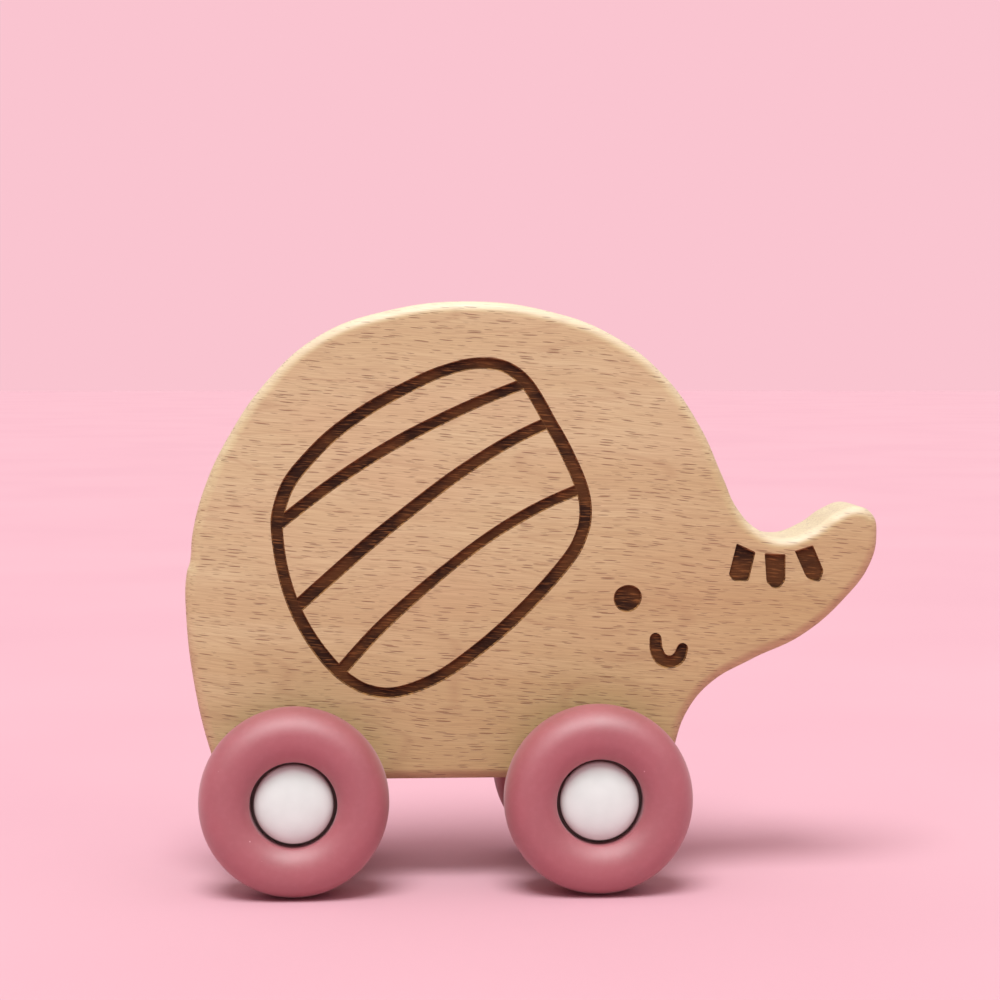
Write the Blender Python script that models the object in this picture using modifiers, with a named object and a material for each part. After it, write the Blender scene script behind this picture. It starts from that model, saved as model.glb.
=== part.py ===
"""Wooden elephant push-along toy: a beech board on two turning wheelsets with silicone tyres.

Lengths are in millimetres and are multiplied by MM. +X points to the trunk, +Z is up, and the
origin is on the floor below the middle of the toy.
"""

import math

import bpy
import bmesh

MM = 0.001

# Driving dimensions
BODY_THICKNESS = 18.0
EDGE_RADIUS = 2.2
EDGE_SEGMENTS = 3
BELLY_HEIGHT = 19.6
WHEEL_RADIUS = 17.5
WHEEL_WIDTH = 13.6
WHEEL_GAP = 2.6
REAR_AXLE_X = -44.9
FRONT_AXLE_X = 11.2
AXLE_RADIUS = 2.0
FIT_GAP = 0.3

# Worked out from them: the wheel's mid-plane is WHEEL_Y from the middle of the board
WHEEL_Y = BODY_THICKNESS / 2 + WHEEL_GAP + WHEEL_WIDTH / 2
BOARD_FACE = BODY_THICKNESS / 2 - WHEEL_Y
RUNNING_RADIUS = AXLE_RADIUS + FIT_GAP

# Tyre section: a fat rounded ring round a straight bore, with side walls that dip to it
TYRE_BORE = 8.0
TYRE_CREST = 12.6
TYRE_WALL_RADIUS = 10.2
TYRE_INNER_REACH = 5.6
TYRE_SQUARENESS = 2.3
TYRE_ARC_DEGREES = (90, 62, 42, 24, 0, -24, -42, -62, -90)
TYRE_STEPS = 36

# The hub's rib and the groove that holds it in the tyre, nearer the board than mid-width
RIB_CENTRE = -1.2
RIB_RADIUS = 9.0
RIB_HALF_WIDTH = 1.0
RIB_SLOPE = 0.6
BEAD_GAP = 0.35

# Hub, cap, washer and sleeve
HUB_RADIUS = TYRE_BORE - 0.4
HUB_TOP = 1.5
NECK_RADIUS = 6.4
NECK_FOOT = 0.6
HUB_SHOULDER = -4.6
BOSS_TOP = -6.0
BOSS_RADIUS = 4.4
SOCKET_RADIUS = 4.6
SOCKET_FLOOR = -1.4
CAP_RADIUS = 7.3
CAP_EDGE = 0.6
CAP_DOME = 2.3
CAP_SQUARENESS = 2.3
CAP_ARC_DEGREES = (90, 72, 54, 36, 20, 8, 0)
SPIGOT_LENGTH = 2.8
SPIGOT_BORE = 2.9
WASHER_RADIUS = 5.0
WASHER_THICKNESS = 1.0
WASHER_GAP = 0.4
SLEEVE_RADIUS = 3.5
SLEEVE_INSET = 0.3
AXLE_PAST_WHEEL = 1.5
AXLE_CHAMFER = 0.4
SMALL_STEPS = 24
OUTLINE_STEPS = 5

# Modelling settings
BORE_CUTTER_LENGTH = BODY_THICKNESS + 4.0
BEVEL_ANGLE = math.radians(60)
SMOOTH_ANGLE = math.radians(35)
MERGE_DISTANCE = 1e-6

# Board outline as (x, z), from the belly round the rear foot, back, trunk, chin and front foot
BELLY_REAR_X = -29.0
BELLY_FRONT_X = -5.0
BELLY_HANDLE = 2.2
FOOT_BOTTOM = 8.0
OUTLINE = (
    (BELLY_REAR_X, BELLY_HEIGHT),
    (-33.0, 14.4),
    (REAR_AXLE_X, FOOT_BOTTOM),
    (-57.0, 14.4),
    (-60.8, 25.0),
    (-63.4, 35.7),
    (-65.2, 51.0),
    (-65.0, 58.8),
    (-64.4, 60.8),
    (-63.9, 66.0),
    (-61.4, 75.2),
    (-57.2, 84.0),
    (-50.1, 94.3),
    (-40.3, 102.9),
    (-27.7, 107.6),
    (-11.5, 109.4),
    (3.1, 107.5),
    (14.4, 103.3),
    (24.4, 95.7),
    (31.5, 85.8),
    (35.7, 76.6),
    (38.6, 70.4),
    (42.4, 66.5),
    (47.4, 64.9),
    (53.0, 66.7),
    (57.2, 69.5),
    (61.4, 70.8),
    (64.4, 69.2),
    (65.2, 65.4),
    (64.0, 59.9),
    (59.0, 53.1),
    (51.0, 46.3),
    (41.3, 41.7),
    (33.5, 37.2),
    (29.0, 31.6),
    (26.4, 24.0),
    (22.4, 12.6),
    (FRONT_AXLE_X, FOOT_BOTTOM),
    (-0.6, 13.4),
    (BELLY_FRONT_X, BELLY_HEIGHT),
)


def clear_scene():
    for obj in list(bpy.data.objects):
        bpy.data.objects.remove(obj, do_unlink=True)


def new_collection(name):
    collection = bpy.data.collections.new(name)
    bpy.context.scene.collection.children.link(collection)
    return collection


def make_material(name, colour, roughness, metallic=0.0):
    material = bpy.data.materials.new(name)
    material.use_nodes = True
    shader = material.node_tree.nodes["Principled BSDF"]
    shader.inputs["Base Color"].default_value = (*colour, 1.0)
    shader.inputs["Roughness"].default_value = roughness
    shader.inputs["Metallic"].default_value = metallic
    material.diffuse_color = (*colour, 1.0)
    return material


def add_object(name, data, collection, material=None, parent=None):
    obj = bpy.data.objects.new(name, data)
    collection.objects.link(obj)
    obj.parent = parent
    if material:
        data.materials.append(material)
    return obj


def board_mesh(name):
    """The outline as a filled 2D curve of the board's thickness, made into one closed mesh.

    Each cap becomes a single face, so that the round-over isn't held back by edges across it.
    """
    curve = bpy.data.curves.new(name, "CURVE")
    curve.dimensions = "2D"
    curve.fill_mode = "BOTH"
    curve.extrude = BODY_THICKNESS / 2 * MM
    curve.resolution_u = OUTLINE_STEPS
    spline = curve.splines.new("BEZIER")
    spline.bezier_points.add(len(OUTLINE) - 1)
    spline.use_cyclic_u = True
    for point, (x, z) in zip(spline.bezier_points, OUTLINE):
        point.co = (x * MM, z * MM, 0)
        point.handle_left_type = "AUTO"
        point.handle_right_type = "AUTO"
    belly_rear = spline.bezier_points[0]
    belly_rear.handle_left_type = "VECTOR"
    belly_rear.handle_right_type = "FREE"
    belly_rear.handle_right = ((BELLY_REAR_X - BELLY_HANDLE) * MM, BELLY_HEIGHT * MM, 0)
    belly_front = spline.bezier_points[-1]
    belly_front.handle_left_type = "FREE"
    belly_front.handle_right_type = "VECTOR"
    belly_front.handle_left = ((BELLY_FRONT_X + BELLY_HANDLE) * MM, BELLY_HEIGHT * MM, 0)
    guide = bpy.data.objects.new(name + "_outline", curve)
    bpy.context.scene.collection.objects.link(guide)
    guide.rotation_euler = (math.pi / 2, 0, 0)
    bpy.context.view_layer.update()
    evaluated = guide.evaluated_get(bpy.context.evaluated_depsgraph_get())
    mesh = bpy.data.meshes.new_from_object(evaluated)
    matrix = guide.matrix_world.copy()
    bpy.data.objects.remove(guide, do_unlink=True)
    bm = bmesh.new()
    bm.from_mesh(mesh)
    bmesh.ops.remove_doubles(bm, verts=bm.verts, dist=MERGE_DISTANCE)
    bmesh.ops.recalc_face_normals(bm, faces=bm.faces)
    inside_caps = [
        edge
        for edge in bm.edges
        if all(abs(face.normal.z) > 0.9 for face in edge.link_faces)
    ]
    bmesh.ops.dissolve_edges(bm, edges=inside_caps, use_verts=False)
    bm.to_mesh(mesh)
    bm.free()
    return mesh, matrix


def cylinder_mesh(name, radius, length, steps):
    mesh = bpy.data.meshes.new(name)
    bm = bmesh.new()
    bmesh.ops.create_cone(
        bm,
        cap_ends=True,
        segments=steps,
        radius1=radius * MM,
        radius2=radius * MM,
        depth=length * MM,
    )
    bm.to_mesh(mesh)
    bm.free()
    return mesh


def smooth(obj):
    obj.data.shade_smooth()
    obj.data.set_sharp_from_angle(angle=SMOOTH_ANGLE)


def profile_mesh(name, points, closed, steps):
    """A turned piece's section as (radius, height), turned half a step so that flats face down."""
    mesh = bpy.data.meshes.new(name)
    half_step = math.pi / steps
    verts = [
        (r * MM * math.cos(half_step), r * MM * math.sin(half_step), z * MM)
        for r, z in points
    ]
    edges = [(i, i + 1) for i in range(len(verts) - 1)]
    if closed:
        edges.append((len(verts) - 1, 0))
    mesh.from_pydata(verts, edges, [])
    return mesh


def add_turned(name, mesh, steps, collection, parent, side, y):
    """A turned piece on an axle line, its height running outwards on its own side of the board."""
    obj = add_object(name, mesh, collection, parent=parent)
    obj.location = (0, side * y * MM, 0)
    obj.rotation_euler = (-side * math.pi / 2, 0, 0)
    screw = obj.modifiers.new("Turn", "SCREW")
    screw.steps = steps
    screw.render_steps = steps
    screw.use_merge_vertices = True
    screw.merge_threshold = MERGE_DISTANCE
    screw.use_smooth_shade = True
    return obj


def tyre_section():
    """Outer half a superellipse, side walls that dip to a straight bore, and the rib's groove."""
    half_width = WHEEL_WIDTH / 2
    reach = WHEEL_RADIUS / math.cos(math.pi / TYRE_STEPS) - TYRE_CREST
    power = 2 / TYRE_SQUARENESS
    points = []
    for degrees in TYRE_ARC_DEGREES:
        c = math.cos(math.radians(degrees))
        s = math.sin(math.radians(degrees))
        r = TYRE_CREST + reach * abs(c) ** power
        points.append((r, half_width * math.copysign(abs(s) ** power, s)))
    inner = []
    for r in (TYRE_WALL_RADIUS, TYRE_BORE):
        fall = ((TYRE_CREST - r) / TYRE_INNER_REACH) ** TYRE_SQUARENESS
        inner.append((r, half_width * (1 - fall) ** (1 / TYRE_SQUARENESS)))
    points += [(r, -z) for r, z in inner]
    groove = RIB_RADIUS + BEAD_GAP
    floor_half = RIB_HALF_WIDTH + FIT_GAP
    points.append((TYRE_BORE, RIB_CENTRE - floor_half - RIB_SLOPE))
    points.append((groove, RIB_CENTRE - floor_half))
    points.append((groove, RIB_CENTRE + floor_half))
    points.append((TYRE_BORE, RIB_CENTRE + floor_half + RIB_SLOPE))
    points += reversed(inner)
    return points


def hub_section():
    """Barrel with a rib for the tyre, a boss towards the board and a neck with the cap's socket."""
    boss_end = BOARD_FACE + WASHER_THICKNESS + 2 * WASHER_GAP
    return [
        (NECK_RADIUS, HUB_TOP),
        (NECK_RADIUS, NECK_FOOT),
        (HUB_RADIUS, RIB_CENTRE + RIB_HALF_WIDTH + RIB_SLOPE),
        (RIB_RADIUS, RIB_CENTRE + RIB_HALF_WIDTH),
        (RIB_RADIUS, RIB_CENTRE - RIB_HALF_WIDTH),
        (HUB_RADIUS, RIB_CENTRE - RIB_HALF_WIDTH - RIB_SLOPE),
        (HUB_RADIUS, HUB_SHOULDER),
        (BOSS_RADIUS, BOSS_TOP),
        (BOSS_RADIUS, boss_end),
        (RUNNING_RADIUS, boss_end),
        (RUNNING_RADIUS, SOCKET_FLOOR),
        (SOCKET_RADIUS, SOCKET_FLOOR),
        (SOCKET_RADIUS, HUB_TOP),
    ]


def cap_section():
    """A domed button with a hollow spigot that plugs into the hub round the axle's end."""
    base = HUB_TOP + FIT_GAP
    dome_base = base + CAP_EDGE
    power = 2 / CAP_SQUARENESS
    points = []
    for degrees in CAP_ARC_DEGREES:
        c = math.cos(math.radians(degrees))
        s = math.sin(math.radians(degrees))
        points.append((CAP_RADIUS * c ** power, dome_base + CAP_DOME * s ** power))
    points[0] = (0.0, dome_base + CAP_DOME)
    spigot_radius = SOCKET_RADIUS - FIT_GAP
    points.append((CAP_RADIUS, base))
    points.append((spigot_radius, base))
    points.append((spigot_radius, base - SPIGOT_LENGTH))
    points.append((SPIGOT_BORE, base - SPIGOT_LENGTH))
    points.append((SPIGOT_BORE, base + CAP_EDGE))
    points.append((0.0, base + CAP_EDGE))
    return points


def washer_section():
    inner = BOARD_FACE + WASHER_GAP
    outer = inner + WASHER_THICKNESS
    return [
        (WASHER_RADIUS, outer),
        (WASHER_RADIUS, inner),
        (RUNNING_RADIUS, inner),
        (RUNNING_RADIUS, outer),
    ]


def sleeve_section():
    half_length = BODY_THICKNESS / 2 - SLEEVE_INSET
    return [
        (SLEEVE_RADIUS, half_length),
        (SLEEVE_RADIUS, -half_length),
        (RUNNING_RADIUS, -half_length),
        (RUNNING_RADIUS, half_length),
    ]


def add_body(collection, cutters, material):
    mesh, matrix = board_mesh("elephant_body")
    body = add_object("elephant_body", mesh, collection, material)
    body.matrix_world = matrix
    rounding = body.modifiers.new("Rounded edges", "BEVEL")
    rounding.width = EDGE_RADIUS * MM
    rounding.segments = EDGE_SEGMENTS
    rounding.limit_method = "ANGLE"
    rounding.angle_limit = BEVEL_ANGLE
    rounding.use_clamp_overlap = False
    for end, axle_x in (("rear", REAR_AXLE_X), ("front", FRONT_AXLE_X)):
        bore = cylinder_mesh(
            end + "_bore", SLEEVE_RADIUS + FIT_GAP, BORE_CUTTER_LENGTH, SMALL_STEPS
        )
        cutter = add_object(end + "_bore_cutter", bore, cutters)
        cutter.location = (axle_x * MM, 0, WHEEL_RADIUS * MM)
        cutter.rotation_euler = (math.pi / 2, 0, 0)
        cutter.hide_render = True
        cutter.display_type = "WIRE"
        cut = body.modifiers.new(end + " axle bore", "BOOLEAN")
        cut.operation = "DIFFERENCE"
        cut.object = cutter
    smooth(body)


def add_axle(name, collection, parent, material):
    length = 2 * (WHEEL_Y + AXLE_PAST_WHEEL)
    axle = add_object(
        name,
        cylinder_mesh(name, AXLE_RADIUS, length, SMALL_STEPS),
        collection,
        material,
        parent,
    )
    axle.rotation_euler = (math.pi / 2, 0, 0)
    chamfer = axle.modifiers.new("Chamfered ends", "BEVEL")
    chamfer.width = AXLE_CHAMFER * MM
    chamfer.segments = 1
    chamfer.limit_method = "ANGLE"
    chamfer.angle_limit = BEVEL_ANGLE
    smooth(axle)


def wheel_meshes(materials):
    """One section for each kind of wheel piece, shared by the four wheels."""
    pieces = {
        "tyre": (tyre_section(), True, TYRE_STEPS, "silicone"),
        "hub": (hub_section(), True, SMALL_STEPS, "hub_plastic"),
        "hub_cap": (cap_section(), False, SMALL_STEPS, "cap_plastic"),
        "washer": (washer_section(), True, SMALL_STEPS, "nylon"),
    }
    meshes = {}
    for piece, (points, closed, steps, slot) in pieces.items():
        mesh = profile_mesh(piece, points, closed, steps)
        mesh.materials.append(materials[slot])
        meshes[piece] = (mesh, steps)
    return meshes


def main():
    clear_scene()
    toy = new_collection("elephant_push_along_toy")
    cutters = new_collection("cutters")
    materials = {
        "beech": make_material("beech", (0.58, 0.36, 0.19), 0.55),
        "silicone": make_material("silicone", (0.44, 0.13, 0.16), 0.6),
        "cap_plastic": make_material("cap_plastic", (0.82, 0.80, 0.77), 0.2),
        "hub_plastic": make_material("hub_plastic", (0.62, 0.60, 0.57), 0.4),
        "nylon": make_material("nylon", (0.70, 0.68, 0.62), 0.45),
        "steel": make_material("steel", (0.55, 0.55, 0.56), 0.3, 1.0),
    }
    add_body(toy, cutters, materials["beech"])
    wheel = wheel_meshes(materials)
    sleeve = profile_mesh("sleeve", sleeve_section(), True, SMALL_STEPS)
    sleeve.materials.append(materials["nylon"])
    for end, axle_x in (("rear", REAR_AXLE_X), ("front", FRONT_AXLE_X)):
        axle_line = add_object(end + "_axle_line", None, toy)
        axle_line.location = (axle_x * MM, 0, WHEEL_RADIUS * MM)
        add_axle(end + "_axle", toy, axle_line, materials["steel"])
        add_turned(end + "_axle_sleeve", sleeve, SMALL_STEPS, toy, axle_line, 1, 0.0)
        for side_name, side in (("right", -1), ("left", 1)):
            for piece, (mesh, steps) in wheel.items():
                name = f"{end}_{side_name}_{piece}"
                add_turned(name, mesh, steps, toy, axle_line, side, WHEEL_Y)


main()
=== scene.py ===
"""Looks of the wooden elephant push-along toy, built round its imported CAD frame.

Lengths are in millimetres and are multiplied by MM. +X points to the trunk, +Z is up, and the
engraved face that the camera sees is the board's right side, towards -Y.
"""

import math

import bmesh
import bpy
from mathutils import Matrix, Vector


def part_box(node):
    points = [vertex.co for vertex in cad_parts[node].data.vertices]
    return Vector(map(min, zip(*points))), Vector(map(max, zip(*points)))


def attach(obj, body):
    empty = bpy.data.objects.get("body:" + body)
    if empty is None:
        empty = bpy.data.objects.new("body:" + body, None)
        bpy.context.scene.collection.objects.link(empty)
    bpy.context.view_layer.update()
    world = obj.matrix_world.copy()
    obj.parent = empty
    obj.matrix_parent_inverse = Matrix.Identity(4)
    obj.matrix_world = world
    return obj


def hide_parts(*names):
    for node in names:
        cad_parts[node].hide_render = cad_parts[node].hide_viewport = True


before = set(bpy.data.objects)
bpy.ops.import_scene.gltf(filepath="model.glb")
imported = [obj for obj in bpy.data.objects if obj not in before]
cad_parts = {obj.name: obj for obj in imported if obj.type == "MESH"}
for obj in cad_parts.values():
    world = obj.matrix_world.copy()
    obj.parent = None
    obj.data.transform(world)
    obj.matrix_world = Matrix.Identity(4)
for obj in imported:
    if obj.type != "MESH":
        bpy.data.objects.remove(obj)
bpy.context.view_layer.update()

MM = 0.001

# Camera, in metres and radians, and its lens in millimetres
CAMERA_PLACE = (-0.0320, -0.4565, 0.0997)
CAMERA_PITCH = -0.061
CAMERA_YAW = -0.057
CAMERA_LENS = 86.4
SENSOR_WIDTH = 36.0

# Board
EDGE_RADIUS = 2.2
EDGE_SEGMENTS = 8
OUTLINE_STEPS = 14
BORE_RADIUS = 3.8
BORE_STEPS = 64
BELLY_HEIGHT = 19.6
BELLY_REAR_X = -29.0
BELLY_FRONT_X = -5.0
BELLY_HANDLE = 2.2
OUTLINE = (
    (BELLY_REAR_X, BELLY_HEIGHT),
    (-33.0, 14.4),
    (-44.9, 8.0),
    (-57.0, 14.4),
    (-60.8, 25.0),
    (-63.4, 35.7),
    (-65.2, 51.0),
    (-65.0, 58.8),
    (-64.4, 60.8),
    (-63.9, 66.0),
    (-61.4, 75.2),
    (-57.2, 84.0),
    (-50.1, 94.3),
    (-40.3, 102.9),
    (-27.7, 107.6),
    (-11.5, 109.4),
    (3.1, 107.5),
    (14.4, 103.3),
    (24.4, 95.7),
    (31.5, 85.8),
    (35.7, 76.6),
    (38.6, 70.4),
    (42.4, 66.5),
    (47.4, 64.9),
    (53.0, 66.7),
    (57.2, 69.5),
    (61.4, 70.8),
    (64.4, 69.2),
    (65.2, 65.4),
    (64.0, 59.9),
    (59.0, 53.1),
    (51.0, 46.3),
    (41.3, 41.7),
    (33.5, 37.2),
    (29.0, 31.6),
    (26.4, 24.0),
    (22.4, 12.6),
    (11.2, 8.0),
    (-0.6, 13.4),
    (BELLY_FRONT_X, BELLY_HEIGHT),
)

# Engraving on both faces: strokes as (x, z, width), and small marks as corners
ENGRAVE_DEPTH = 0.5
WALL_SLOPE = 0.22
CUT_ABOVE = 0.5
LEAST_FLOOR = 0.02
ROUND_END_DEGREES = (25, 45, 60, 72, 82)
TOP_CORNER = 0.3
LOW_CORNER = 0.5
STROKE_STEPS = 6
EAR = (
    (-48.1, 67.0, 2.3),
    (-47.6, 71.0, 2.5),
    (-45.8, 75.6, 2.6),
    (-42.6, 79.7, 2.6),
    (-37.6, 84.7, 2.5),
    (-30.4, 89.8, 2.4),
    (-21.4, 94.6, 2.3),
    (-16.2, 96.7, 2.2),
    (-11.5, 97.8, 2.2),
    (-7.2, 97.7, 2.2),
    (-4.3, 96.6, 2.3),
    (-1.7, 94.4, 2.4),
    (0.6, 91.0, 2.5),
    (2.8, 87.0, 2.5),
    (4.9, 83.4, 2.5),
    (6.8, 79.6, 2.5),
    (8.3, 76.2, 2.5),
    (9.4, 72.6, 2.4),
    (9.6, 69.2, 2.4),
    (9.0, 66.2, 2.4),
    (6.9, 61.9, 2.5),
    (1.0, 54.9, 2.5),
    (-6.5, 47.6, 2.5),
    (-14.7, 41.2, 2.3),
    (-20.6, 37.9, 2.2),
    (-26.4, 36.2, 2.1),
    (-31.0, 36.7, 2.1),
    (-34.6, 38.5, 2.2),
    (-37.7, 41.2, 2.4),
    (-41.6, 46.2, 2.4),
    (-44.9, 52.4, 2.3),
    (-47.1, 59.5, 2.2),
)
STRIPES = (
    (
        (-48.2, 67.6, 2.3),
        (-39.9, 74.0, 2.3),
        (-32.5, 79.1, 2.3),
        (-25.0, 83.6, 2.3),
        (-17.4, 87.5, 2.2),
        (-10.0, 90.9, 2.1),
        (-2.2, 94.0, 2.1),
    ),
    (
        (-45.2, 51.8, 2.5),
        (-38.1, 58.1, 2.6),
        (-30.4, 64.8, 2.6),
        (-22.5, 71.1, 2.5),
        (-15.1, 76.7, 2.4),
        (-7.3, 81.8, 2.3),
        (-2.2, 84.6, 2.3),
        (3.0, 87.0, 2.3),
    ),
    (
        (-37.1, 39.5, 2.4),
        (-30.0, 47.4, 2.4),
        (-23.0, 53.9, 2.3),
        (-15.6, 60.1, 2.1),
        (-9.0, 65.1, 2.0),
        (-2.6, 69.1, 2.1),
        (3.2, 72.1, 2.1),
        (9.0, 74.5, 2.2),
    ),
)
STRIPE_DEPTHS = (0.47, 0.45, 0.48)
SMILE = (
    (22.9, 46.0, 2.3),
    (23.1, 43.8, 2.5),
    (24.1, 42.1, 2.5),
    (25.8, 41.6, 2.5),
    (27.3, 42.4, 2.5),
    (28.0, 44.1, 2.2),
)
EYE_CENTRE = (17.6, 53.7)
EYE_RADIUS = 2.62
EYE_STEPS = 48
EYE_OVAL = 0.03
EYE_TILT = 0.6
EYE_WOBBLE = 0.015
LASHES = (
    ((38.2, 64.0), (41.8, 62.3), (40.5, 56.8), (37.7, 56.8), (36.7, 58.0)),
    ((43.5, 62.1), (47.5, 61.9), (47.5, 56.9), (46.4, 55.4), (45.2, 55.4), (43.9, 56.6)),
    ((49.2, 62.5), (52.7, 63.6), (54.8, 58.7), (54.1, 56.6), (52.3, 56.9), (51.4, 57.6)),
)

# Turned pieces as (radius, height), height 0 on the wheel's mid-plane and positive outwards
WHEEL_STEPS = 128
TYRE_RADIUS = 17.5
TYRE_HALF_WIDTH = 6.8
TYRE_BORE = 8.0
TYRE_CREST = 12.6
TYRE_INNER_REACH = 5.6
TYRE_SQUARENESS = 2.3
TYRE_ARC_STEPS = 40
TYRE_INNER_STEPS = 12
LIP_ROUNDING = 0.3
PARTING_HEIGHT = 0.05
PARTING_HALF_WIDTH = 0.25
GROOVE_RADIUS = 9.35
GROOVE_HALF = 1.3
GROOVE_SLOPE = 0.6
RIB_CENTRE = -1.2
HUB_RADIUS = 7.6
HUB_TOP = 1.5
HUB_END = -7.6
NECK_RADIUS = 6.4
NECK_FOOT = 0.6
RIB_RADIUS = 9.0
RIB_HALF = 1.0
RIB_SLOPE = 0.6
BARREL_END = -4.6
BOSS_RADIUS = 4.4
BOSS_START = -6.0
SOCKET_RADIUS = 4.6
SOCKET_FLOOR = -1.4
CAP_RADIUS = 7.3
CAP_BASE = 1.8
CAP_EDGE = 0.6
CAP_DOME = 2.3
CAP_SQUARENESS = 2.3
CAP_ARC_STEPS = 28
CAP_SIDE = 0.2
SPIGOT_OUTER = 4.3
SPIGOT_INNER = 2.9
SPIGOT_END = CAP_BASE - 2.8
SPIGOT_CHAMFER = 0.2
RUNNING_RADIUS = 2.3
WASHER_RADIUS = 5.0
WASHER_OUTER = -8.0
WASHER_INNER = -9.0
SLEEVE_RADIUS = 3.5
AXLE_TIP = ((1.6, 0.0), (1.85, 0.12), (2.0, 0.4))
ROD_STEPS = 64

# Shading: angles above which an edge stays sharp, and the distances within which points are one
BOARD_SHARP_ANGLE = math.radians(32)
TURNED_SHARP_ANGLE = math.radians(40)
ROUNDED_EDGE_ANGLE = math.radians(60)
BOARD_MERGE = 1e-6
TURNED_MERGE = 1e-7

# The board's materials, in order: beech, then the engraving's floor and walls
FLOOR_INDEX = 1
WALL_INDEX = 2

# Colours as display values under the scene's own light
WOOD_LIGHT = (212, 199, 151)
WOOD_MID = (204, 187, 137)
WOOD_ROSE = (206, 184, 138)
WOOD_FIBRE = (182, 159, 115)
WOOD_RING = (178, 151, 109)
WOOD_FLECK = (120, 80, 36)
# Painted shade: multiplied into the wood to darken it towards the bottom and the trunk end
WOOD_FALLOFF_SHADE = (234, 221, 202)
# Painted highlight: the paler wood given to upward-facing faces, as if lit from above
WOOD_TOP_HIGHLIGHT = (246, 236, 214)
BURNT_DARK = (42, 21, 7)
BURNT_MID = (82, 49, 21)
BURNT_STREAK = (138, 90, 46)
SCORCH_DARK = (82, 50, 22)
SCORCH_TAN = (156, 112, 62)
SILICONE_DEEP = (147, 34, 50)
SILICONE_SOFT = (153, 41, 57)
SILICONE_BLOOM = (172, 84, 96)
SILICONE_SPECK = (235, 190, 195)
FLOOR_LIGHT = (216, 167, 179)
FLOOR_SHADE = (213, 163, 176)
CAP_WHITE = (224, 243, 236)
CAP_SHADE = (218, 237, 230)
# The hub's greys, partly its own colour and partly painted shade: darkened so the ring gap round each cap
# reads dark
HUB_GREY_GAP_SHADE = (150, 141, 134)
HUB_DARK_GAP_SHADE = (138, 130, 123)
NYLON_LIGHT = (216, 213, 204)
NYLON_SHADE = (205, 201, 190)
STEEL_SHADE = (186, 187, 190)
STEEL_LIGHT = (205, 205, 207)

# Grain, in millimetres along the length, through the thickness and across the grain
GRAIN_DROOP = 0.075
WAVE_SIZE = (26.0, 40.0, 16.0)
WAVE_HEIGHT = 2.4
BAND_SIZE = (70.0, 30.0, 6.5)
PATCH_SIZE = (34.0, 26.0, 17.0)
FIBRE_SIZE = (9.0, 1.5, 0.20)
RING_SIZE = (90.0, 60.0, 9.0)
RING_COUNT = 9.0
RING_HALF_WIDTH = 0.09
# Painted shade: the weight of the trunk-ward direction against height, and how far the bands waver it
SHADE_SLOPE = 0.45
SHADE_WAVE = 16.0
BURNT_STREAK_SIZE = (3.6, 3.0, 0.24)
BURNT_TONE_SIZE = (8.0, 5.0, 4.0)
SCORCH_SIZE = (2.0, 2.0, 0.3)
# Flecks: the size of a cell, the shortest and longest reach of a fleck as shares of it, an offset
MAIN_FLECKS = ((5.0, 1.4, 0.38), 0.13, 0.35, 0.0)
LONG_FLECKS = ((9.0, 1.8, 0.90), 0.08, 0.20, 11.7)
TINY_FLECKS = ((4.2, 1.1, 0.32), 0.12, 0.32, 23.9)
TINY_SHARE = 0.4
FLECK_EDGE = 0.72
FLECK_DISORDER = 0.85

# Fine structure of the other materials, and the depth of each one's surface relief, in millimetres
SILICONE_CLOUD_SIZE = (9.0, 9.0, 9.0)
SILICONE_BLOOM_SIZE = (1.3, 1.3, 1.3)
SILICONE_GRAIN_SIZE = (0.25, 0.25, 0.25)
DUST_SPACING = (2.6, 2.6, 2.6)
DUST_REACH = 0.055
PLASTIC_CLOUD_SIZE = (5.0, 5.0, 5.0)
PLASTIC_PEEL_SIZE = (0.8, 0.8, 0.8)
STEEL_LINE_SIZE = (0.12, 0.12, 6.0)
PAPER_TONE_SIZE = (160.0, 160.0, 160.0)
PAPER_TOOTH_SIZE = (0.5, 0.5, 0.5)
WOOD_RELIEF = 0.03
BURNT_RELIEF = 0.1
SILICONE_RELIEF = 0.01
PLASTIC_RELIEF = 0.008
STEEL_RELIEF = 0.004
PAPER_RELIEF = 0.02

# Studio: the floor's radius in metres, then the sky as (height, colour) from the horizon up:
# pink low, dim at the sides and bright overhead
FLOOR_RADIUS = 6.0
SKY = ((0.16, (250, 196, 208)), (0.28, (52, 42, 46)), (0.42, (64, 54, 57)), (0.64, (255, 238, 238)))
KEY_FROM = (-0.1, -0.45, 1.0)
KEY_STRENGTH = 2.9
KEY_WIDTH = 30.0
KEY_COLOUR = (0.9, 1.0, 0.99)


# ---------------------------------------------------------------- node helpers


def srgb(red, green, blue):
    """A colour given as 0-255 display values, as linear values with alpha."""
    linear = []
    for value in (red, green, blue):
        share = value / 255
        if share <= 0.04045:
            linear.append(share / 12.92)
        else:
            linear.append(((share + 0.055) / 1.055) ** 2.4)
    return (*linear, 1.0)


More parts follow.
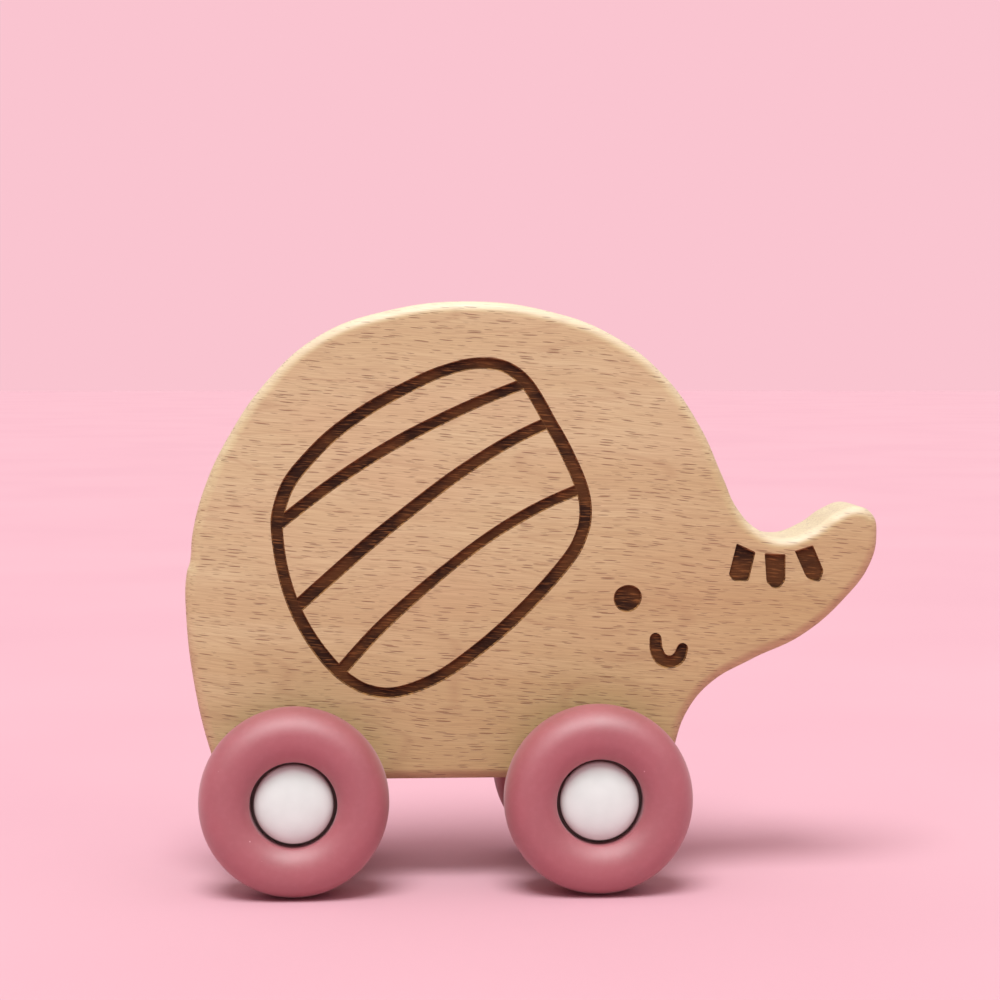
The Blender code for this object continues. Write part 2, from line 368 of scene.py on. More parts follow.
class Material:
    """A node material with a Principled shader, built by short calls."""

    def __init__(self, name):
        self.data = bpy.data.materials.new(name)
        self.data.use_nodes = True
        self.tree = self.data.node_tree
        self.shader = self.tree.nodes["Principled BSDF"]

    def node(self, kind, settings=None, **inputs):
        """A new node. An input's name has _ for a space, and takes a value or another node's output."""
        made = self.tree.nodes.new(kind)
        for key, value in (settings or {}).items():
            setattr(made, key, value)
        for key, value in inputs.items():
            self.feed(made.inputs[key.replace("_", " ")], value)
        return made

    def feed(self, socket, value):
        if isinstance(value, bpy.types.NodeSocket):
            self.tree.links.new(value, socket)
        else:
            socket.default_value = value

    def set(self, **inputs):
        """Feeds the shader's sockets."""
        for key, value in inputs.items():
            self.feed(self.shader.inputs[key.replace("_", " ")], value)

    def math(self, operation, *values):
        made = self.node("ShaderNodeMath", {"operation": operation})
        for socket, value in zip(made.inputs, values):
            self.feed(socket, value)
        return made.outputs[0]

    def place(self):
        """The three object coordinates, in millimetres."""
        coords = self.node("ShaderNodeTexCoord").outputs["Object"]
        scaled = self.node("ShaderNodeVectorMath", {"operation": "SCALE"}, Vector=coords, Scale=1 / MM)
        return self.node("ShaderNodeSeparateXYZ", Vector=scaled.outputs[0]).outputs

    def vector(self, x, y, z):
        made = self.node("ShaderNodeCombineXYZ")
        for socket, value in zip(made.inputs, (x, y, z)):
            self.feed(socket, value)
        return made.outputs[0]

    def scaled(self, parts, sizes, offset=0.0):
        """The place over a size on each axis, plus an offset that sets one texture apart from the next."""
        places = [self.math("MULTIPLY_ADD", part, 1 / size, offset) for part, size in zip(parts, sizes)]
        return self.vector(*places)

    def noise(self, vector, detail=2.0, roughness=0.5):
        made = self.node("ShaderNodeTexNoise", Vector=vector, Scale=1.0, Detail=detail, Roughness=roughness)
        return made.outputs["Fac"]

    def cells(self, vector, disorder):
        """Cells about one unit across, each with its own colour and the distance to its middle."""
        settings = {"feature": "F1"}
        return self.node("ShaderNodeTexVoronoi", settings, Vector=vector, Scale=1.0, Randomness=disorder)

    def remap(self, value, low, high, to_low=0.0, to_high=1.0, smooth=True):
        made = self.node("ShaderNodeMapRange", {"interpolation_type": "SMOOTHSTEP" if smooth else "LINEAR"})
        for socket, number in zip(made.inputs, (value, low, high, to_low, to_high)):
            self.feed(socket, number)
        return made.outputs[0]

    def mix(self, factor, first, second, blend="MIX"):
        made = self.node("ShaderNodeMix", {"data_type": "RGBA", "blend_type": blend})
        self.feed(made.inputs[0], factor)
        self.feed(made.inputs[6], first)
        self.feed(made.inputs[7], second)
        return made.outputs[2]

    def bump(self, height, depth):
        """A bumped normal, its depth in millimetres."""
        return self.node("ShaderNodeBump", Height=height, Distance=depth * MM, Strength=1.0).outputs[0]


# ---------------------------------------------------------------- materials


def grain_place(mat):
    """Place in the board along the grain, through the thickness and across the grain, gently wavy."""
    x, y, z = mat.place()
    wave = mat.noise(mat.scaled((x, y, z), WAVE_SIZE), detail=1.0)
    across = mat.math("MULTIPLY_ADD", x, GRAIN_DROOP, z)
    across = mat.math("MULTIPLY_ADD", wave, WAVE_HEIGHT, across)
    return x, y, across


def fleck_layer(mat, parts, sizes, low, high, offset):
    """Dark lens-shaped rays: one in most cells of a stretched cell pattern, each of its own size."""
    vector = mat.scaled(parts, sizes, offset)
    cells = mat.cells(vector, FLECK_DISORDER)
    own = mat.node("ShaderNodeSeparateColor", Color=cells.outputs["Color"])
    reach = mat.remap(own.outputs[0], 0.0, 1.0, low, high, smooth=False)
    share = mat.math("DIVIDE", cells.outputs["Distance"], reach)
    shape = mat.remap(share, FLECK_EDGE, 1.0, 1.0, 0.0)
    depth = mat.remap(own.outputs[1], 0.0, 1.0, 0.35, 0.9, smooth=False)
    return mat.math("MULTIPLY", shape, depth)


def beech():
    """Sanded beech: bands, patches, fibres and ring lines, dark flecks, painted shade darker towards the
    bottom and the trunk end, and a painted highlight on upward faces.
    """
    mat = Material("beech_wood")
    parts = grain_place(mat)
    bands = mat.noise(mat.scaled(parts, BAND_SIZE), detail=2.0, roughness=0.55)
    patches = mat.noise(mat.scaled(parts, PATCH_SIZE, 7.3), detail=2.0)
    fibres = mat.noise(mat.scaled(parts, FIBRE_SIZE), detail=3.0, roughness=0.6)
    colour = mat.mix(mat.remap(bands, 0.34, 0.66), srgb(*WOOD_LIGHT), srgb(*WOOD_MID))
    colour = mat.mix(mat.remap(patches, 0.38, 0.7, 0.0, 0.7), colour, srgb(*WOOD_ROSE))
    colour = mat.mix(mat.remap(fibres, 0.34, 0.68, 0.0, 0.7), colour, srgb(*WOOD_FIBRE))
    ring_noise = mat.noise(mat.scaled(parts, RING_SIZE, 3.1), detail=0.0)
    rings = mat.math("PINGPONG", mat.math("MULTIPLY", ring_noise, RING_COUNT), 0.5)
    ring_lines = mat.remap(rings, 0.0, RING_HALF_WIDTH, 0.4, 0.0)
    colour = mat.mix(ring_lines, colour, srgb(*WOOD_RING))
    x, _, z = parts
    # Painted shade: the wood is multiplied darker towards the bottom and the trunk end
    shade_slope = mat.math("MULTIPLY_ADD", x, SHADE_SLOPE, mat.math("MULTIPLY", z, -1.0))
    shade_slope = mat.math("MULTIPLY_ADD", bands, SHADE_WAVE, shade_slope)
    colour = mat.mix(mat.remap(shade_slope, -88.0, -10.0), colour, srgb(*WOOD_FALLOFF_SHADE), "MULTIPLY")
    main = fleck_layer(mat, parts, *MAIN_FLECKS)
    long = fleck_layer(mat, parts, *LONG_FLECKS)
    tiny = fleck_layer(mat, parts, *TINY_FLECKS)
    low = mat.remap(z, 20.0, 70.0, 1.0, 0.45)
    long = mat.math("MULTIPLY", long, low)
    flecks = mat.math("MAXIMUM", mat.math("MAXIMUM", main, long), mat.math("MULTIPLY", tiny, TINY_SHARE))
    colour = mat.mix(flecks, colour, srgb(*WOOD_FLECK))
    # Painted highlight: upward-facing faces mixed towards a paler wood, as if lit from above
    facing = mat.node("ShaderNodeSeparateXYZ", Vector=mat.node("ShaderNodeTexCoord").outputs["Normal"])
    colour = mat.mix(mat.remap(facing.outputs[2], 0.1, 0.85, 0.0, 0.42), colour, srgb(*WOOD_TOP_HIGHLIGHT))
    rough = mat.remap(fibres, 0.3, 0.7, 0.48, 0.58)
    height = mat.math("MULTIPLY_ADD", flecks, -1.0, mat.math("MULTIPLY", fibres, 0.35))
    mat.set(Base_Color=colour, Roughness=rough, Normal=mat.bump(height, WOOD_RELIEF))
    mat.shader.inputs["Specular IOR Level"].default_value = 1.0
    return mat.data


def burnt():
    """The engraving's floor, burnt dark brown, with paler streaks along the grain."""
    mat = Material("burnt_beech")
    parts = grain_place(mat)
    streaks = mat.noise(mat.scaled(parts, BURNT_STREAK_SIZE), detail=3.0, roughness=0.6)
    tone = mat.noise(mat.scaled(parts, BURNT_TONE_SIZE, 5.0), detail=2.0)
    colour = mat.mix(mat.remap(tone, 0.35, 0.65), srgb(*BURNT_DARK), srgb(*BURNT_MID))
    colour = mat.mix(mat.remap(streaks, 0.5, 0.74, 0.0, 0.85), colour, srgb(*BURNT_STREAK))
    rough = mat.remap(streaks, 0.3, 0.7, 0.85, 0.65)
    mat.set(Base_Color=colour, Roughness=rough, Normal=mat.bump(streaks, BURNT_RELIEF))
    mat.shader.inputs["Specular IOR Level"].default_value = 0.2
    return mat.data


def scorched():
    """The engraving's sloping walls, scorched in streaks of tan and brown."""
    mat = Material("scorched_beech")
    parts = grain_place(mat)
    streaks = mat.noise(mat.scaled(parts, SCORCH_SIZE, 2.0), detail=2.0)
    colour = mat.mix(mat.remap(streaks, 0.35, 0.65), srgb(*SCORCH_DARK), srgb(*SCORCH_TAN))
    mat.set(Base_Color=colour, Roughness=mat.remap(streaks, 0.3, 0.7, 0.75, 0.6))
    return mat.data


def silicone():
    """Matt rose silicone, faintly cloudy, with a few specks of dust."""
    mat = Material("rose_silicone")
    parts = mat.place()
    clouds = mat.noise(mat.scaled(parts, SILICONE_CLOUD_SIZE), detail=2.0)
    bloom = mat.noise(mat.scaled(parts, SILICONE_BLOOM_SIZE, 9.0), detail=2.0)
    colour = mat.mix(mat.remap(clouds, 0.35, 0.65), srgb(*SILICONE_DEEP), srgb(*SILICONE_SOFT))
    colour = mat.mix(mat.remap(bloom, 0.4, 0.75, 0.0, 0.15), colour, srgb(*SILICONE_BLOOM))
    dust = mat.cells(mat.scaled(parts, DUST_SPACING, 4.0), 1.0)
    own = mat.node("ShaderNodeSeparateColor", Color=dust.outputs["Color"])
    reach = mat.remap(own.outputs[0], 0.72, 1.0, 0.0, DUST_REACH, smooth=False)
    specks = mat.math("LESS_THAN", dust.outputs["Distance"], reach)
    colour = mat.mix(mat.math("MULTIPLY", specks, 0.5), colour, srgb(*SILICONE_SPECK))
    rough = mat.remap(clouds, 0.3, 0.7, 0.62, 0.68)
    grain = mat.noise(mat.scaled(parts, SILICONE_GRAIN_SIZE, 1.0), detail=2.0)
    mat.set(Base_Color=colour, Roughness=rough, Normal=mat.bump(grain, SILICONE_RELIEF))
    shader = mat.shader.inputs
    shader["Subsurface Weight"].default_value = 0.12
    shader["Subsurface Radius"].default_value = (1.0, 0.35, 0.3)
    shader["Subsurface Scale"].default_value = 0.002
    shader["Sheen Weight"].default_value = 0.2
    shader["Sheen Roughness"].default_value = 0.5
    shader["Specular IOR Level"].default_value = 1.0
    shader["IOR"].default_value = 1.9
    return mat.data


def moulded(name, light, shade, rough_low, rough_high):
    """Moulded plastic: faintly uneven colour and gloss, and a fine orange-peel surface."""
    mat = Material(name)
    parts = mat.place()
    clouds = mat.noise(mat.scaled(parts, PLASTIC_CLOUD_SIZE), detail=2.0)
    peel = mat.noise(mat.scaled(parts, PLASTIC_PEEL_SIZE, 6.0), detail=2.0)
    colour = mat.mix(mat.remap(clouds, 0.3, 0.7), srgb(*light), srgb(*shade))
    rough = mat.remap(peel, 0.3, 0.7, rough_low, rough_high)
    mat.set(Base_Color=colour, Roughness=rough, Normal=mat.bump(peel, PLASTIC_RELIEF))
    return mat.data


def steel():
    """Steel with faint lines along the rod."""
    mat = Material("drawn_steel")
    lines = mat.noise(mat.scaled(mat.place(), STEEL_LINE_SIZE), detail=2.0)
    colour = mat.mix(mat.remap(lines, 0.3, 0.7), srgb(*STEEL_SHADE), srgb(*STEEL_LIGHT))
    mat.set(Base_Color=colour, Roughness=mat.remap(lines, 0.3, 0.7, 0.24, 0.4))
    mat.set(Normal=mat.bump(lines, STEEL_RELIEF))
    mat.shader.inputs["Metallic"].default_value = 1.0
    return mat.data


def paper():
    """The pale floor: matt paper with a fine tooth."""
    mat = Material("floor_paper")
    parts = mat.place()
    tone = mat.noise(mat.scaled(parts, PAPER_TONE_SIZE), detail=2.0)
    colour = mat.mix(mat.remap(tone, 0.3, 0.7), srgb(*FLOOR_LIGHT), srgb(*FLOOR_SHADE))
    tooth = mat.noise(mat.scaled(parts, PAPER_TOOTH_SIZE), detail=2.0)
    mat.set(Base_Color=colour, Roughness=0.75, Normal=mat.bump(tooth, PAPER_RELIEF))
    mat.shader.inputs["Specular IOR Level"].default_value = 0.25
    return mat.data


# ---------------------------------------------------------------- shape helpers


def add_object(name, mesh):
    obj = bpy.data.objects.new(name, mesh)
    bpy.context.scene.collection.objects.link(obj)
    return obj


def mesh_from(bm, name, materials):
    mesh = bpy.data.meshes.new(name)
    bm.to_mesh(mesh)
    bm.free()
    for material in materials:
        mesh.materials.append(material)
    return mesh


def applied(obj, name):
    """The object's evaluated mesh as a new mesh, with the modified object and its cutters gone."""
    bpy.context.view_layer.update()
    evaluated = obj.evaluated_get(bpy.context.evaluated_depsgraph_get())
    mesh = bpy.data.meshes.new_from_object(evaluated)
    mesh.name = name
    mesh.transform(obj.matrix_world)
    for modifier in obj.modifiers:
        if modifier.type == "BOOLEAN":
            bpy.data.objects.remove(modifier.object, do_unlink=True)
    bpy.data.objects.remove(obj, do_unlink=True)
    return mesh


def spline_samples(points, closed, steps):
    """Samples of the smooth curve through the points, each a tuple as long as a point."""
    count = len(points)
    samples = []
    for index in range(count if closed else count - 1):
        if closed:
            p0, p1, p2, p3 = (points[(index + k) % count] for k in (-1, 0, 1, 2))
        else:
            p1, p2 = points[index], points[index + 1]
            p0 = points[index - 1] if index > 0 else p1
            p3 = points[index + 2] if index + 2 < count else p2
        for step in range(steps):
            t = step / steps
            samples.append(tuple(catmull(a, b, c, d, t) for a, b, c, d in zip(p0, p1, p2, p3)))
    if not closed:
        samples.append(points[-1])
    return samples


def catmull(a, b, c, d, t):
    linear = (c - a) * t
    square = (2 * a - 5 * b + 4 * c - d) * t * t
    cube = (3 * b - a - 3 * c + d) * t * t * t
    return (2 * b + linear + square + cube) / 2


def rounded(corners, steps=4):
    """A closed section whose corners, given as (a, b, radius), are rounded where radius isn't 0."""
    points = []
    count = len(corners)
    for index, (a, b, radius) in enumerate(corners):
        if radius == 0:
            points.append((a, b))
            continue
        before = corners[index - 1]
        after = corners[(index + 1) % count]
        to_before = math.hypot(before[0] - a, before[1] - b)
        to_after = math.hypot(after[0] - a, after[1] - b)
        start = (a + (before[0] - a) * radius / to_before, b + (before[1] - b) * radius / to_before)
        end = (a + (after[0] - a) * radius / to_after, b + (after[1] - b) * radius / to_after)
        for step in range(steps + 1):
            t = step / steps
            keep = (1 - t) * (1 - t)
            bend = 2 * t * (1 - t)
            points.append(
                (
                    keep * start[0] + bend * a + t * t * end[0],
                    keep * start[1] + bend * b + t * t * end[1],
                )
            )
    return points


# ---------------------------------------------------------------- board


def outline_mesh(name, thickness):
    """The outline as a filled 2D curve of the board's thickness, each cap made one face."""
    curve = bpy.data.curves.new(name, "CURVE")
    curve.dimensions = "2D"
    curve.fill_mode = "BOTH"
    curve.extrude = thickness / 2
    curve.resolution_u = OUTLINE_STEPS
    spline = curve.splines.new("BEZIER")
    spline.bezier_points.add(len(OUTLINE) - 1)
    spline.use_cyclic_u = True
    for point, (x, z) in zip(spline.bezier_points, OUTLINE):
        point.co = (x * MM, z * MM, 0)
        point.handle_left_type = "AUTO"
        point.handle_right_type = "AUTO"
    belly_rear = spline.bezier_points[0]
    belly_rear.handle_left_type = "VECTOR"
    belly_rear.handle_right_type = "FREE"
    belly_rear.handle_right = ((BELLY_REAR_X - BELLY_HANDLE) * MM, BELLY_HEIGHT * MM, 0)
    belly_front = spline.bezier_points[-1]
    belly_front.handle_left_type = "FREE"
    belly_front.handle_right_type = "VECTOR"
    belly_front.handle_left = ((BELLY_FRONT_X + BELLY_HANDLE) * MM, BELLY_HEIGHT * MM, 0)
    guide = add_object(name + "_outline", curve)
    guide.rotation_euler = (math.pi / 2, 0, 0)
    mesh = applied(guide, name)
    bm = bmesh.new()
    bm.from_mesh(mesh)
    bmesh.ops.remove_doubles(bm, verts=bm.verts, dist=BOARD_MERGE)
    bmesh.ops.recalc_face_normals(bm, faces=bm.faces)
    inside_caps = [e for e in bm.edges if all(abs(f.normal.y) > 0.9 for f in e.link_faces)]
    bmesh.ops.dissolve_edges(bm, edges=inside_caps, use_verts=False)
    bm.to_mesh(mesh)
    bm.free()
    return mesh


def sweep_cut(bm, samples, closed, depth, side, face):
    """A trench along the samples (x, z, width), with sloping walls, cut into a face of the board."""
    count = len(samples)
    sections = []
    for index, (x, z, width) in enumerate(samples):
        before = samples[index - 1] if closed or index > 0 else samples[index]
        after = samples[(index + 1) % count] if closed or index + 1 < count else samples[index]
        along = math.hypot(after[0] - before[0], after[1] - before[1])
        across = (-(after[1] - before[1]) / along, (after[0] - before[0]) / along)
        spread = width / 2 + WALL_SLOPE * CUT_ABOVE / depth
        floor = max(width / 2 - WALL_SLOPE, LEAST_FLOOR)
        corners = (
            (spread, -CUT_ABOVE),
            (-spread, -CUT_ABOVE),
            (-floor, depth),
            (floor, depth),
        )
        sections.append(
            [
                bm.verts.new(((x + across[0] * w) * MM, side * (face - d) * MM, (z + across[1] * w) * MM))
                for w, d in corners
            ]
        )
    pairs = zip(sections, sections[1:] + sections[:1]) if closed else zip(sections, sections[1:])
    for first, second in pairs:
        for corner in range(4):
            after = (corner + 1) % 4
            made = bm.faces.new((first[corner], first[after], second[after], second[corner]))
            made.material_index = FLOOR_INDEX if corner == 2 else WALL_INDEX
    if not closed:
        bm.faces.new(sections[0]).material_index = WALL_INDEX
        bm.faces.new(sections[-1]).material_index = WALL_INDEX


def round_ended(samples):
    """The samples of an open stroke with its ends drawn out into round ones."""
    ended = []
    for end, inner in ((samples[0], samples[1]), (samples[-1], samples[-2])):
        away = math.hypot(end[0] - inner[0], end[1] - inner[1])
        step = ((end[0] - inner[0]) / away, (end[1] - inner[1]) / away)
        half = end[2] / 2
        tip = []
        for degrees in ROUND_END_DEGREES:
            out = half * math.sin(math.radians(degrees))
            width = 2 * half * math.cos(math.radians(degrees))
            tip.append((end[0] + step[0] * out, end[1] + step[1] * out, width))
        ended.append(tip)
    return ended[0][::-1] + list(samples) + ended[1]


def prism_cut(bm, points, depth, side, face):
    """A pocket with sloping walls below a closed outline of (x, z)."""
    centre_x = sum(x for x, z in points) / len(points)
    centre_z = sum(z for x, z in points) / len(points)
    size = sum(math.hypot(x - centre_x, z - centre_z) for x, z in points) / len(points)
    levels = []
    for level, inset in ((-CUT_ABOVE, -WALL_SLOPE * CUT_ABOVE / depth), (depth, WALL_SLOPE)):
        grow = 1 - inset / size
        levels.append(
            [
                bm.verts.new(
                    (
                        (centre_x + (x - centre_x) * grow) * MM,
                        side * (face - level) * MM,
                        (centre_z + (z - centre_z) * grow) * MM,
                    )
                )
                for x, z in points
            ]
        )
    top, floor = levels
    bm.faces.new(top).material_index = WALL_INDEX
    bm.faces.new(floor[::-1]).material_index = FLOOR_INDEX
    for index in range(len(points)):
        after = (index + 1) % len(points)
        wall = bm.faces.new((top[index], floor[index], floor[after], top[after]))
        wall.material_index = WALL_INDEX


def eye_outline():
    """A nearly round dot, a little uneven as if drawn by hand."""
    points = []
    for step in range(EYE_STEPS):
        turn = 2 * math.pi * step / EYE_STEPS
        radius = EYE_RADIUS * (1 + EYE_OVAL * math.sin(2 * turn + EYE_TILT) + EYE_WOBBLE * math.sin(3 * turn))
        points.append((EYE_CENTRE[0] + radius * math.cos(turn), EYE_CENTRE[1] + radius * math.sin(turn)))
    return points


def lash_outline(corners):
    """A dash with its top corners crisp and its lower ones rounded."""
    radii = [TOP_CORNER] * 2 + [LOW_CORNER] * (len(corners) - 2)
    return rounded([(x, z, radius) for (x, z), radius in zip(corners, radii)])


def cutter(name, fill, materials):
    """A hidden object for a Boolean, its mesh made by fill(bm)."""
    bm = bmesh.new()
    fill(bm)
    bmesh.ops.recalc_face_normals(bm, faces=bm.faces)
    obj = add_object(name, mesh_from(bm, name, materials))
    obj.hide_render = True
    return obj


def main_marks(bm, side, face):
    """Ear outline, smile, eye and trunk dashes."""
    sweep_cut(bm, spline_samples(EAR, True, STROKE_STEPS), True, ENGRAVE_DEPTH, side, face)
    smile = round_ended(spline_samples(SMILE, False, STROKE_STEPS))
    sweep_cut(bm, smile, False, ENGRAVE_DEPTH, side, face)
    prism_cut(bm, eye_outline(), ENGRAVE_DEPTH, side, face)
    for corners in LASHES:
        prism_cut(bm, lash_outline(corners), ENGRAVE_DEPTH, side, face)


def stripe_marks(bm, side, face):
    """The ear's stripes, each a little shallower than the outline so that no floors coincide."""
    for stripe, depth in zip(STRIPES, STRIPE_DEPTHS):
        sweep_cut(bm, spline_samples(stripe, False, STROKE_STEPS), False, depth, side, face)


def bore_marks(bm, length):
    for axle in ("rear_axle", "front_axle"):
        low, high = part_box(axle)
        centre = (low + high) / 2
        made = bmesh.ops.create_cone(
            bm,
            cap_ends=True,
            segments=BORE_STEPS,
            radius1=BORE_RADIUS * MM,
            radius2=BORE_RADIUS * MM,
            depth=length,
        )
        turn = Matrix.Rotation(math.pi / 2, 4, "X")
        bmesh.ops.transform(bm, matrix=Matrix.Translation(centre) @ turn, verts=made["verts"])


def add_board(materials):
    """The board from the same outline as its CAD node, finer, with the engraving cut into both faces."""
    low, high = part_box("elephant_body")
    thickness = high.y - low.y
    face = thickness / 2 / MM
    mesh = outline_mesh("engraved_board", thickness)
    mesh.materials.clear()
    for material in materials:
        mesh.materials.append(material)
    board = add_object("engraved_board", mesh)
    rounding = board.modifiers.new("Rounded edges", "BEVEL")
    rounding.width = EDGE_RADIUS * MM
    rounding.segments = EDGE_SEGMENTS
    rounding.limit_method = "ANGLE"
    rounding.angle_limit = ROUNDED_EDGE_ANGLE
    rounding.use_clamp_overlap = False
    cutters = [cutter("bores", lambda bm: bore_marks(bm, 2 * thickness), materials)]
    for side in (-1, 1):
        cutters.append(cutter("marks", lambda bm: main_marks(bm, side, face), materials))
        cutters.append(cutter("stripes", lambda bm: stripe_marks(bm, side, face), materials))
    for tool in cutters:
        cut = board.modifiers.new(tool.name, "BOOLEAN")
        cut.operation = "DIFFERENCE"
        cut.solver = "EXACT"
        cut.material_mode = "TRANSFER"
        cut.object = tool
    mesh = applied(board, "engraved_board")
    mesh.shade_smooth()
    mesh.set_sharp_from_angle(angle=BOARD_SHARP_ANGLE)
    board = add_object("engraved_board", mesh)
    weighted = board.modifiers.new("Flat faces", "WEIGHTED_NORMAL")
    weighted.keep_sharp = True
    weighted.weight = 100
    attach(board, "elephant")
    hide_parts("elephant_body")


# ---------------------------------------------------------------- turned pieces


def turned_mesh(name, section, closed, material, steps=WHEEL_STEPS):
    """The section, as (radius, height), turned round the local Z axis."""
    bm = bmesh.new()
    verts = [bm.verts.new((r * MM, 0, h * MM)) for r, h in section]
    edges = [bm.edges.new(pair) for pair in zip(verts, verts[1:])]
    if closed:
        edges.append(bm.edges.new((verts[-1], verts[0])))
    bmesh.ops.spin(
        bm,
        geom=verts + edges,
        cent=(0, 0, 0),
        axis=(0, 0, 1),
        angle=2 * math.pi,
        steps=steps,
        use_merge=True,
    )
    bmesh.ops.remove_doubles(bm, verts=bm.verts, dist=TURNED_MERGE)
    bmesh.ops.recalc_face_normals(bm, faces=bm.faces)
    mesh = mesh_from(bm, name, [material])
    mesh.shade_smooth()
    mesh.set_sharp_from_angle(angle=TURNED_SHARP_ANGLE)
    return mesh


def tyre_section():
    """A fat ring: outer half a superellipse, side walls that dip to the bore, and the hub's groove."""
    reach = TYRE_RADIUS - TYRE_CREST
    power = 2 / TYRE_SQUARENESS
    points = []
    for step in range(TYRE_ARC_STEPS + 1):
        turn = math.pi * (0.5 - step / TYRE_ARC_STEPS)
        radius = TYRE_CREST + reach * max(math.cos(turn), 0.0) ** power
        height = TYRE_HALF_WIDTH * math.copysign(abs(math.sin(turn)) ** power, math.sin(turn))
        if abs(height) < PARTING_HALF_WIDTH:
            radius -= PARTING_HEIGHT
        points.append((radius, height))
    inner = []
    for step in range(1, TYRE_INNER_STEPS + 1):
        radius = TYRE_CREST - (TYRE_CREST - TYRE_BORE) * step / TYRE_INNER_STEPS
        fall = ((TYRE_CREST - radius) / TYRE_INNER_REACH) ** TYRE_SQUARENESS
        inner.append((radius, TYRE_HALF_WIDTH * (1 - fall) ** (1 / TYRE_SQUARENESS)))
    lip = inner.pop()
    before = inner[-1]
    inner += rounded([(*before, 0), (*lip, LIP_ROUNDING), (TYRE_BORE, 0, 0)])[1:-1]
    points += [(radius, -height) for radius, height in inner]
    points.append((TYRE_BORE, RIB_CENTRE - GROOVE_HALF - GROOVE_SLOPE))
    points.append((GROOVE_RADIUS, RIB_CENTRE - GROOVE_HALF))
    points.append((GROOVE_RADIUS, RIB_CENTRE + GROOVE_HALF))
    points.append((TYRE_BORE, RIB_CENTRE + GROOVE_HALF + GROOVE_SLOPE))
    points += reversed(inner)
    return points


def hub_section():
    """Barrel with a rib that holds the tyre, a boss towards the board and a socket for the cap."""
    return rounded(
        [
            (NECK_RADIUS, HUB_TOP, 0.2),
            (NECK_RADIUS, NECK_FOOT, 0.1),
            (HUB_RADIUS, RIB_CENTRE + RIB_HALF + RIB_SLOPE, 0),
            (RIB_RADIUS, RIB_CENTRE + RIB_HALF, 0.2),
            (RIB_RADIUS, RIB_CENTRE - RIB_HALF, 0.2),
            (HUB_RADIUS, RIB_CENTRE - RIB_HALF - RIB_SLOPE, 0.2),
            (HUB_RADIUS, BARREL_END, 0.3),
            (BOSS_RADIUS, BOSS_START, 0.3),
            (BOSS_RADIUS, HUB_END, 0.2),
            (RUNNING_RADIUS, HUB_END, 0.15),
            (RUNNING_RADIUS, SOCKET_FLOOR, 0),
            (SOCKET_RADIUS, SOCKET_FLOOR, 0.2),
            (SOCKET_RADIUS, HUB_TOP, 0.2),
        ]
    )


def cap_section():
    """A domed button with a hollow spigot that plugs into the hub round the axle's end."""
    points = [(0.0, CAP_BASE + CAP_EDGE + CAP_DOME)]
    power = 2 / CAP_SQUARENESS
    for step in range(1, CAP_ARC_STEPS + 1):
        turn = math.pi / 2 * (1 - step / CAP_ARC_STEPS)
        rise = CAP_DOME * math.sin(turn) ** power
        points.append((CAP_RADIUS * math.cos(turn) ** power, CAP_BASE + CAP_EDGE + rise))
    points += [
        (CAP_RADIUS, CAP_BASE + CAP_SIDE),
        (CAP_RADIUS - CAP_SIDE, CAP_BASE),
        (SPIGOT_OUTER, CAP_BASE),
        (SPIGOT_OUTER, SPIGOT_END + SPIGOT_CHAMFER),
        (SPIGOT_OUTER - SPIGOT_CHAMFER, SPIGOT_END),
        (SPIGOT_INNER, SPIGOT_END),
        (SPIGOT_INNER, CAP_BASE + CAP_EDGE),
        (0.0, CAP_BASE + CAP_EDGE),
    ]
    return points


def washer_section():
    return rounded(
        [
            (WASHER_RADIUS, WASHER_OUTER, 0.2),
            (WASHER_RADIUS, WASHER_INNER, 0.2),
            (RUNNING_RADIUS, WASHER_INNER, 0.15),
            (RUNNING_RADIUS, WASHER_OUTER, 0.15),
        ]
    )


def sleeve_section(half_length):
    return rounded(
        [
            (SLEEVE_RADIUS, half_length, 0.2),
            (SLEEVE_RADIUS, -half_length, 0.2),
            (RUNNING_RADIUS, -half_length, 0.2),
            (RUNNING_RADIUS, half_length, 0.2),
        ]
    )


def axle_section(half_length):
    """A plain rod with softly chamfered ends, each given as radii and distances from the tip."""
    top = [(radius, half_length - back) for radius, back in AXLE_TIP]
    foot = [(radius, -height) for radius, height in reversed(top)]
    return [(0.0, half_length), *top, *foot, (0.0, -half_length)]


def add_turned(name, mesh, node, place, side, spin, body):
    """A turned piece on its axle line, standing for its CAD node."""
    obj = add_object(name, mesh)
    outwards = Matrix.Rotation(-side * math.pi / 2, 4, "X")
    obj.matrix_world = Matrix.Translation(place) @ outwards @ Matrix.Rotation(spin, 4, "Z")
    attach(obj, body)
    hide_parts(node)


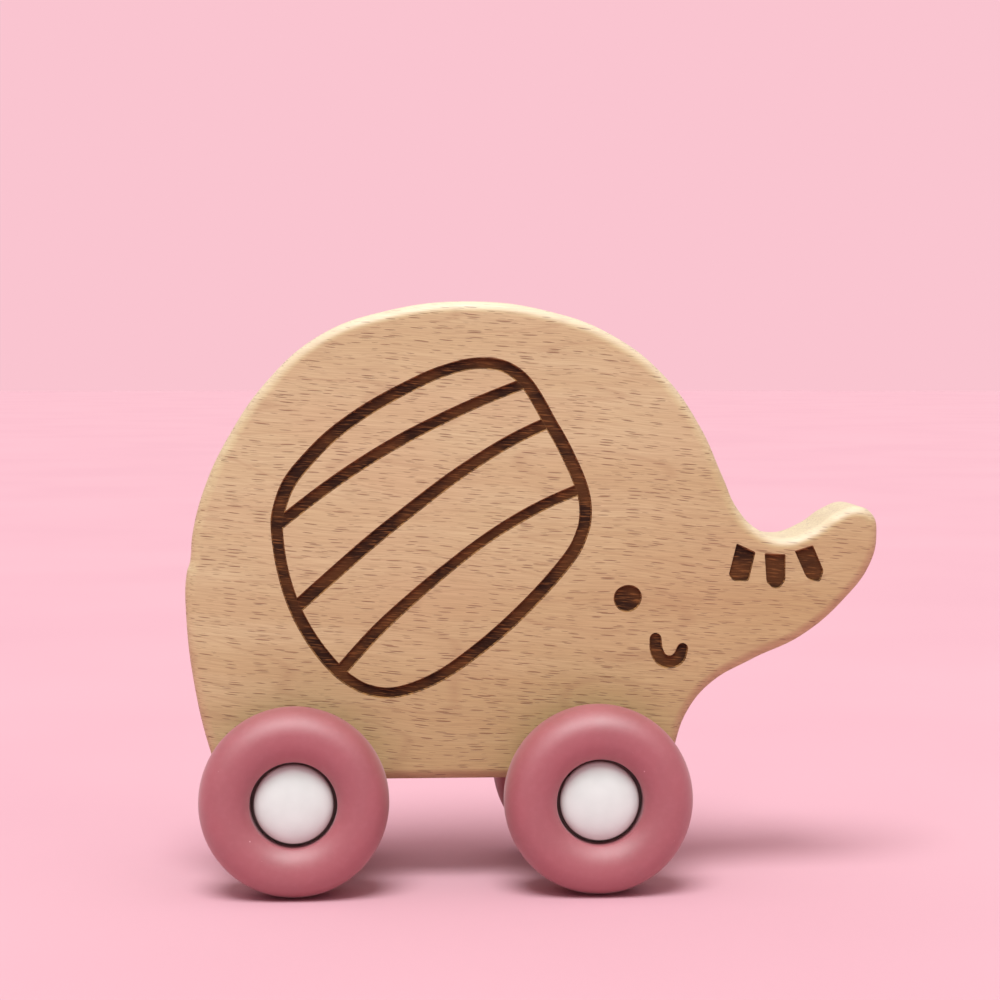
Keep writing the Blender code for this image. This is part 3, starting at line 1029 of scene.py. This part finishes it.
def add_wheelsets(materials):
    wheel = {
        "tyre": (turned_mesh("tyre", tyre_section(), True, materials["silicone"]), "silicone"),
        "hub": (turned_mesh("hub", hub_section(), True, materials["hub"]), "hub_plastic"),
        "hub_cap": (turned_mesh("hub_cap", cap_section(), False, materials["cap"]), "cap_plastic"),
        "washer": (turned_mesh("washer", washer_section(), True, materials["nylon"]), "nylon"),
    }
    for end, spin in (("rear", 0.0), ("front", math.pi)):
        low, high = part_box(end + "_axle")
        centre = (low + high) / 2
        half_length = (high.y - low.y) / 2 / MM
        body = end + "_wheelset"
        axle = turned_mesh("axle", axle_section(half_length), False, materials["steel"], ROD_STEPS)
        add_turned(end + "_axle_rod", axle, end + "_axle", centre, 1, 0, body)
        low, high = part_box(end + "_axle_sleeve")
        sleeve_profile = sleeve_section((high.y - low.y) / 2 / MM)
        sleeve = turned_mesh("sleeve", sleeve_profile, True, materials["nylon"], ROD_STEPS)
        add_turned(end + "_sleeve", sleeve, end + "_axle_sleeve", centre, 1, 0, "elephant")
        for side_name, side in (("right", -1), ("left", 1)):
            low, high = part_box(f"{end}_{side_name}_tyre")
            place = (centre.x, (low.y + high.y) / 2, centre.z)
            for piece, (mesh, slot) in wheel.items():
                node = f"{end}_{side_name}_{piece}"
                add_turned("fine_" + node, mesh, node, place, side, spin, body)
            spin += math.pi / 2


# ---------------------------------------------------------------- studio


def add_camera():
    """The camera low in front of the toy's right side, as in the photograph."""
    data = bpy.data.cameras.new("camera")
    data.lens = CAMERA_LENS
    data.sensor_width = SENSOR_WIDTH
    camera = bpy.data.objects.new("camera", data)
    camera.location = CAMERA_PLACE
    camera.rotation_euler = (math.pi / 2 + CAMERA_PITCH, 0, CAMERA_YAW)
    bpy.context.scene.collection.objects.link(camera)
    bpy.context.scene.camera = camera


def add_floor():
    bm = bmesh.new()
    bmesh.ops.create_circle(bm, cap_ends=True, segments=128, radius=FLOOR_RADIUS)
    floor = add_object("floor", mesh_from(bm, "floor", [paper()]))


def add_key():
    """A far softbox, high in front and a little to the left, as an even light of some width."""
    data = bpy.data.lights.new("key", "SUN")
    data.energy = KEY_STRENGTH
    data.angle = math.radians(KEY_WIDTH)
    data.color = KEY_COLOUR
    light = bpy.data.objects.new("key", data)
    light.rotation_euler = Vector(KEY_FROM).to_track_quat("Z", "Y").to_euler()
    bpy.context.scene.collection.objects.link(light)


def add_world():
    """A plain room: pale pink at the horizon, dim at the sides, bright like a soft lamp overhead."""
    world = bpy.data.worlds.new("studio")
    world.use_nodes = True
    tree = world.node_tree
    background = tree.nodes["Background"]
    coords = tree.nodes.new("ShaderNodeTexCoord")
    parts = tree.nodes.new("ShaderNodeSeparateXYZ")
    ramp = tree.nodes.new("ShaderNodeValToRGB")
    tree.links.new(coords.outputs["Generated"], parts.inputs[0])
    tree.links.new(parts.outputs[2], ramp.inputs[0])
    tree.links.new(ramp.outputs[0], background.inputs[0])
    steps = ramp.color_ramp.elements
    for height, colour in SKY[2:]:
        steps.new(height)
    for stop, (height, colour) in zip(steps, SKY):
        stop.position = height
        stop.color = srgb(*colour)
    bpy.context.scene.world = world


add_camera()
add_board([beech(), burnt(), scorched()])
cap = moulded("white_cap_plastic", CAP_WHITE, CAP_SHADE, 0.14, 0.2)
# Hub plastic darkened as painted shade for the ring gap round each cap
hub = moulded("hub_plastic", HUB_GREY_GAP_SHADE, HUB_DARK_GAP_SHADE, 0.4, 0.55)
nylon = moulded("nylon", NYLON_LIGHT, NYLON_SHADE, 0.4, 0.55)
add_wheelsets({"silicone": silicone(), "cap": cap, "hub": hub, "nylon": nylon, "steel": steel()})
add_floor()
add_world()
add_key()
bpy.context.scene.view_settings.view_transform = "Standard"
